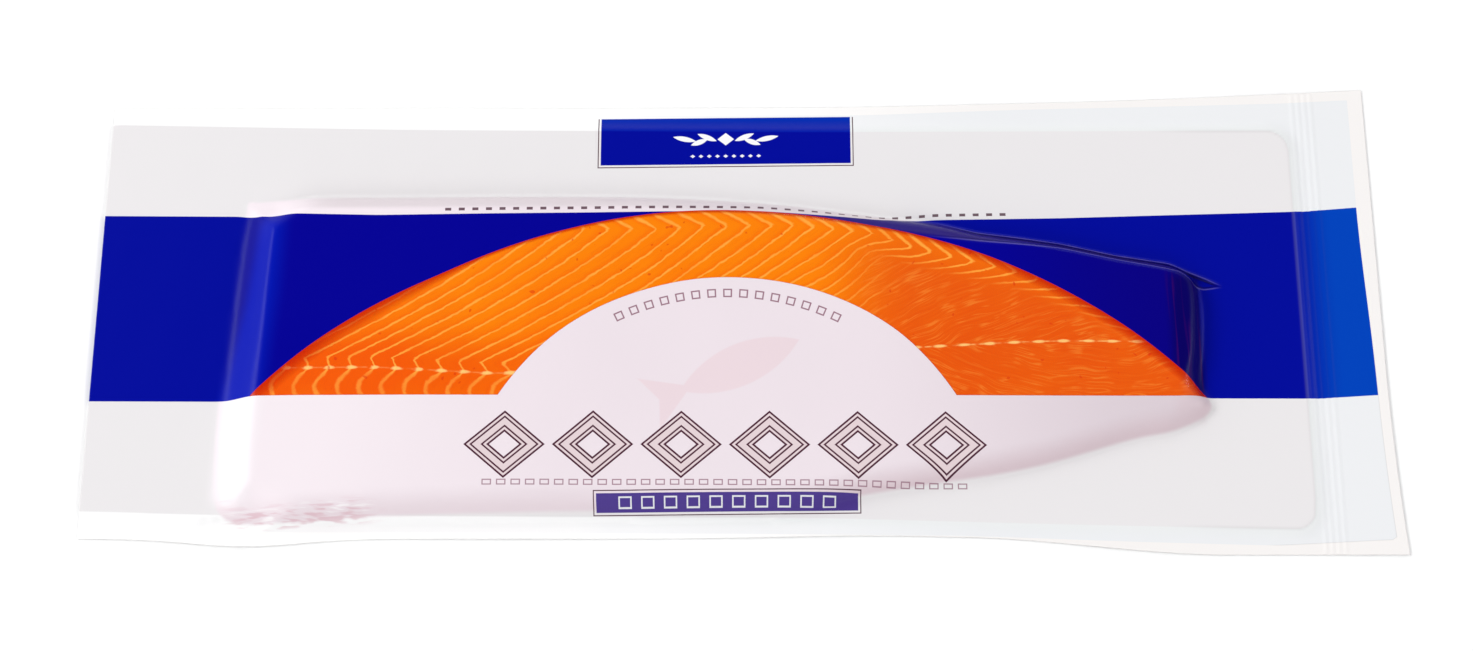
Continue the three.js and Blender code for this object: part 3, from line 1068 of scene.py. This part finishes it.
def flesh_material():
    material, tree, shader = new_material("fish")
    phase, seam, pitch = stored(tree, "flake")
    x, y, flow = stored(tree, "flat")
    turn, right, _ = stored(tree, "zone")

    pale, swing, to_line = flake_lines(tree, x, y, phase, pitch, seam, turn, right)
    wispy = right * turn.step(6, 14)
    waver = (grain(tree, x, y, 22, 1, 3.0) - 0.5) * 6
    feather = grain(tree, (flow + waver) * 0.9, x * 0.04, 1.0, 2)
    strand = grain(tree, (flow + waver * 1.4) * 0.42, x * 0.03, 1.0, 1, 6.0)
    strand = strand.step(0.47, 0.5) * strand.step(0.56, 0.52)
    strand = strand * grain(tree, x, y, 10, 1, 8.0).step(0.4, 0.62)
    fibre = grain(tree, phase * 9, y * 0.16, 1.0, 2, x * 0.05)

    by_seam = abs(seam).step(26, 2)
    by_head = x.step(-120, -190)
    patchy = grain(tree, x, y, 40, 3) - 0.5
    depth = (patchy * 0.9 + by_seam * 0.55 + by_head * 0.35 + turn.step(30, 75) * 0.25).most(0).least(1)
    tail_depth = right * 0.95 + patchy * 0.3 * right - turn.step(14, -4) * right * 0.35
    freckle = grain(tree, x, y, 3.1, 0, 7.0).step(0.79, 0.84)
    colour = layered(
        tree, FLESH_BRIGHT,
        (FLESH_DEEP, depth),
        (FLESH_TAIL, tail_depth.most(0).least(1)),
        (FLESH_DEEP, swing.step(0.45, 0.95) * (1 - right) * 0.4),
        (FLESH_RED, fibre.step(0.5, 0.8) * (1 - right) * 0.12),
        (FLESH_RED, feather.step(0.5, 0.75) * wispy * 0.17),
        (FAT, feather.step(0.48, 0.26) * wispy * 0.10),
        (FAT, strand * wispy * 0.24),
        (FAT, pale * 0.85),
        (SEAM_FAT, seam_marks(tree, x, y, seam, to_line, right) * 0.85),
        (FLESH_RED, freckle * 0.6),
    )
    set_surface(tree, shader, colour, 0.36, 0.12)
    relief(tree, shader, pale * 0.6 + fibre * 0.4 + grain(tree, x, y, 4, 2) * 0.6, 0.1)
    return material


BOARD_DARK = (0.66, 0.655, 0.66)
BOARD_PALE = (0.74, 0.735, 0.74)


def card_material():
    material, tree, shader = new_material("card")
    x, y, _ = stored(tree, "flat")
    fleck = grain(tree, x, y, 1.4, 3) * 0.6 + grain(tree, x, y, 22, 2) * 0.4
    set_surface(tree, shader, blend(tree, BOARD_DARK, BOARD_PALE, fleck), 0.55)
    relief(tree, shader, fleck, 0.02)
    return material


# ======== The pieces ========

def mouth_print_end(y):
    """X where the print stops short of the mouth."""
    return HALF_LENGTH - mouth_inset(y) - 5.2 - 2.6 * smoothstep(y, -40, 60)


def store_print(film, x, y):
    """Distances that the film's material draws with, for each vertex."""
    to_mouth = mouth_print_end(y) - x
    across = np.minimum(print_far_edge(x) - y, y - print_near_edge(x))
    store(film, "flat", x, y, np.minimum(across, to_mouth))
    card = depth_inside_card(np.maximum(x, CARD_START + 4), y)
    fish = depth_inside(x, y, fish_outline)
    store(film, "under", card, fish)
    store(film, "band", y - band_far_edge(x), band_near_edge(x) - y, -to_mouth)

    # Where the film runs down the head end's slope, for a painted highlight there.
    head_foot = np.interp(y, [-95, -45, 7, 28, 47, 54], [-259, -257, -246.5, -244, -242, -240])
    head_width = np.interp(y, [-95, -45, 4, 45], [16, 19, 14, 11])
    head = smoothstep(x - head_foot, -4, 4) * (1 - smoothstep(x - head_foot - head_width, -5, 8))
    head *= smoothstep(y, -103, -92) * (1 - smoothstep(y, 42, 54))
    # Where the film runs down the tail end's slope, for painted shade there.
    tail = smoothstep(x, 208, 216) * (1 - smoothstep(x, 226.5, 229.5))
    tail *= smoothstep(y, -60, -50) * (1 - smoothstep(y, 14, 24))
    # Where the film runs down the fish's near slope, for painted shade there.
    above_foot = y - near_foot(x)
    near_slope_shade = smoothstep(15 - above_foot, 0, 14) * smoothstep(above_foot, -2, 0)
    store(film, "painted_slope_light", head, tail, near_slope_shade)

    outer_x, outer_y, outer_radius = OUTER_ARC
    inner_x, inner_y, inner_radius = INNER_ARC
    outside_arc = np.hypot(x - outer_x, y - outer_y) - outer_radius - outer_arc_shift(x)
    outside_arch = np.hypot(x - inner_x, y - inner_y) - inner_radius - inner_arc_shift(x)
    # Where the film is gathered by the head, for painted shade and painted highlights in its folds.
    pucker = bell(x, -214, 44) * smoothstep(-fish, -9, -3) * (1 - smoothstep(-fish, 1.5, 4))
    pucker *= smoothstep(-y, 88, 96)
    store(film, "arcs", outside_arc, outside_arch, pucker)

    reach = smoothstep(x, 88, 120) * (1 - smoothstep(x, 234, 240))
    store(film, "folds", y - outer_crest(x), y - inner_crest(x), reach)

    # Where the film runs down the fish's far slope, for painted shade, and in the blue a painted
    # reflection.
    slope_width = 12 - 7 * smoothstep(x, 88, 150)
    beyond_foot = y - far_foot(x)
    far_slope_shade_and_sheen = smoothstep(beyond_foot + slope_width, 0, 2.5) * (1 - smoothstep(beyond_foot, -2.5, 0.5))
    far_slope_shade_and_sheen *= smoothstep(x, -236, -200) * (1 - smoothstep(x, 212, 224))
    # A painted shadow along the card's edge towards the mouth.
    card_edge_shadow = np.exp(-((card / 0.7) ** 2)) * smoothstep(x, 200, 240) * 0.35
    by_mouth = smoothstep(x, 252, 262) * smoothstep(-y, 0, 60)
    store(film, "tones", far_slope_shade_and_sheen, card_edge_shadow, by_mouth)


def make_film():
    x, y = film_grid()
    front = pouch_heights(x, y)
    film, xy = closed_piece("pouch_film", x, y, front, lift, 9.0)
    store_print(film, *xy.T)
    film.data.materials.append(film_material())
    film.data.materials.append(film_back_material())
    slots = np.ones(len(film.data.polygons), np.int32)
    slots[: (x.shape[0] - 1) * (x.shape[1] - 1)] = 0
    film.data.polygons.foreach_set("material_index", slots)
    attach(film, "root")
    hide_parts("sealed_pouch")


def make_fish():
    outline = inset_outline(fish_outline, FISH_INSET)
    x, y = fish_grid(outline)
    top = CARD_TOP + GAP + fish_top(x, y, outline)
    fish, xy = closed_piece("salmon_side", x, y, top, lambda a, b: a * 0 + CARD_TOP + GAP, 8.0)
    px, py = xy.T
    store(fish, "flat", px, py, tail_flow(px, py))
    store(fish, "flake", flake_phase(px, py), py - seam_line(px), 1 / flake_gradient(px, py))
    store(fish, "zone", turn_line(px) - py, smoothstep(px, 30, 88))
    fish.data.materials.append(flesh_material())
    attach(fish, "root")


def card_grid():
    """The card's top: columns from its fold end to its mouth end, rounded at the corners."""
    turn = np.linspace(0, math.pi / 2, CORNER_COLUMNS)
    start = CORNER_AT_FOLD * (1 - np.cos(turn))
    end = CARD_LENGTH - CORNER_AT_MOUTH * (1 - np.cos(turn[::-1]))
    straight = np.linspace(CORNER_AT_FOLD, CARD_LENGTH - CORNER_AT_MOUTH, 50)[1:-1]
    inset = np.concatenate([
        CORNER_AT_FOLD * (1 - np.sin(turn)), straight * 0, CORNER_AT_MOUTH * (1 - np.sin(turn[::-1])),
    ])
    x = CARD_START + np.concatenate([start, straight, end])
    low, high = card_near_side(x) + inset, card_far_side(x) - inset
    share = np.linspace(0, 1, CARD_ROWS)
    return np.repeat(x[:, None], CARD_ROWS, 1), low[:, None] + (high - low)[:, None] * share[None]


def make_card():
    x, y = card_grid()
    rim, inner, faces = backing(x, y, 26)
    count = x.size
    below = np.stack([x.ravel()[rim], y.ravel()[rim]], 1)
    xy = np.concatenate([np.stack([x.ravel(), y.ravel()], 1), below, inner])
    z = np.concatenate([np.full(count, CARD_TOP), np.full(len(rim) + len(inner), CARD_BOTTOM)])
    following = np.roll(np.arange(len(rim)), -1)
    sides = np.stack([rim, count + np.arange(len(rim)), count + following, rim[following]], 1).tolist()
    underside = [[count + i for i in face] for face in faces]
    card = add_mesh("carrier_card", xy, z, grid_faces(x.shape) + sides + underside)
    store(card, "flat", *xy.T)
    card.data.materials.append(card_material())
    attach(card, "root")


# ======== Stage, lights and camera ========

CAMERA_LENS = 57.4
CAMERA_ELEVATION = 72.0
CAMERA_DISTANCE = 1.171
CAMERA_TARGET = (-0.0031, -0.0054, 0.0)


WORLD_STRENGTH = 1.15
SOFTBOXES = (  # name, azimuth, elevation, distance, size and power
    ("left", -82, 36, 3.3, (2.4, 1.1), 62),
    ("right", 96, 40, 3.3, (2.4, 1.1), 44),
    ("front", 180, 40, 3.0, (2.4, 1.0), 14),
    ("back", 0, 34, 3.2, (2.8, 0.8), 16),
)


def make_camera():
    data = bpy.data.cameras.new("camera")
    data.lens = CAMERA_LENS
    data.sensor_width = 36
    data.clip_start = 0.05
    camera = add_object("camera", data)
    elevation = math.radians(CAMERA_ELEVATION)
    away = Vector((0, -math.cos(elevation), math.sin(elevation)))
    camera.location = Vector(CAMERA_TARGET) + away * CAMERA_DISTANCE
    camera.rotation_euler = (math.radians(90 - CAMERA_ELEVATION), 0, 0)
    bpy.context.scene.camera = camera


def make_floor():
    bpy.ops.mesh.primitive_plane_add(size=12, location=(0, 0, -0.0004))
    floor = bpy.context.object
    floor.name = "floor"
    material, _, shader = new_material("floor")
    shader.inputs["Base Color"].default_value = (0.95, 0.95, 0.95, 1)
    shader.inputs["Roughness"].default_value = 0.9
    shader.inputs["Specular IOR Level"].default_value = 0.0
    floor.data.materials.append(material)


def add_softbox(name, azimuth, elevation, distance, size, power):
    data = bpy.data.lights.new(name, "AREA")
    data.shape = "RECTANGLE"
    data.size, data.size_y = size
    data.energy = power
    lamp = add_object(name, data)
    a, e = math.radians(azimuth), math.radians(elevation)
    away = Vector((math.sin(a) * math.cos(e), math.cos(a) * math.cos(e), math.sin(e)))
    lamp.location = away * distance
    lamp.rotation_euler = away.to_track_quat("Z", "Y").to_euler()


def light_world():
    """Bright low down and dim overhead, so that the flat film mirrors little towards the camera."""
    world = bpy.data.worlds.new("studio")
    bpy.context.scene.world = world
    world.use_nodes = True
    tree = world.node_tree
    place = tree.nodes.new("ShaderNodeTexCoord")
    parts = tree.nodes.new("ShaderNodeSeparateXYZ")
    tree.links.new(place.outputs["Generated"], parts.inputs[0])
    to_right, _, height = (Field(tree, parts.outputs[k]) for k in range(3))
    low = blend(tree, (1.0, 1.0, 1.0), (0.55, 0.55, 0.56), to_right.step(-0.3, 0.7))
    tone = blend(tree, low, (0.05, 0.05, 0.055), height.step(0.42, 0.82))
    background = tree.nodes["Background"]
    tree.links.new(tone, background.inputs["Color"])
    background.inputs["Strength"].default_value = WORLD_STRENGTH


def make_lights():
    light_world()
    for softbox in SOFTBOXES:
        add_softbox(*softbox)
    bpy.context.scene.view_settings.view_transform = "Standard"
    bpy.context.scene.view_settings.look = "None"


make_camera()
make_film()
make_fish()
make_card()
make_floor()
make_lights()
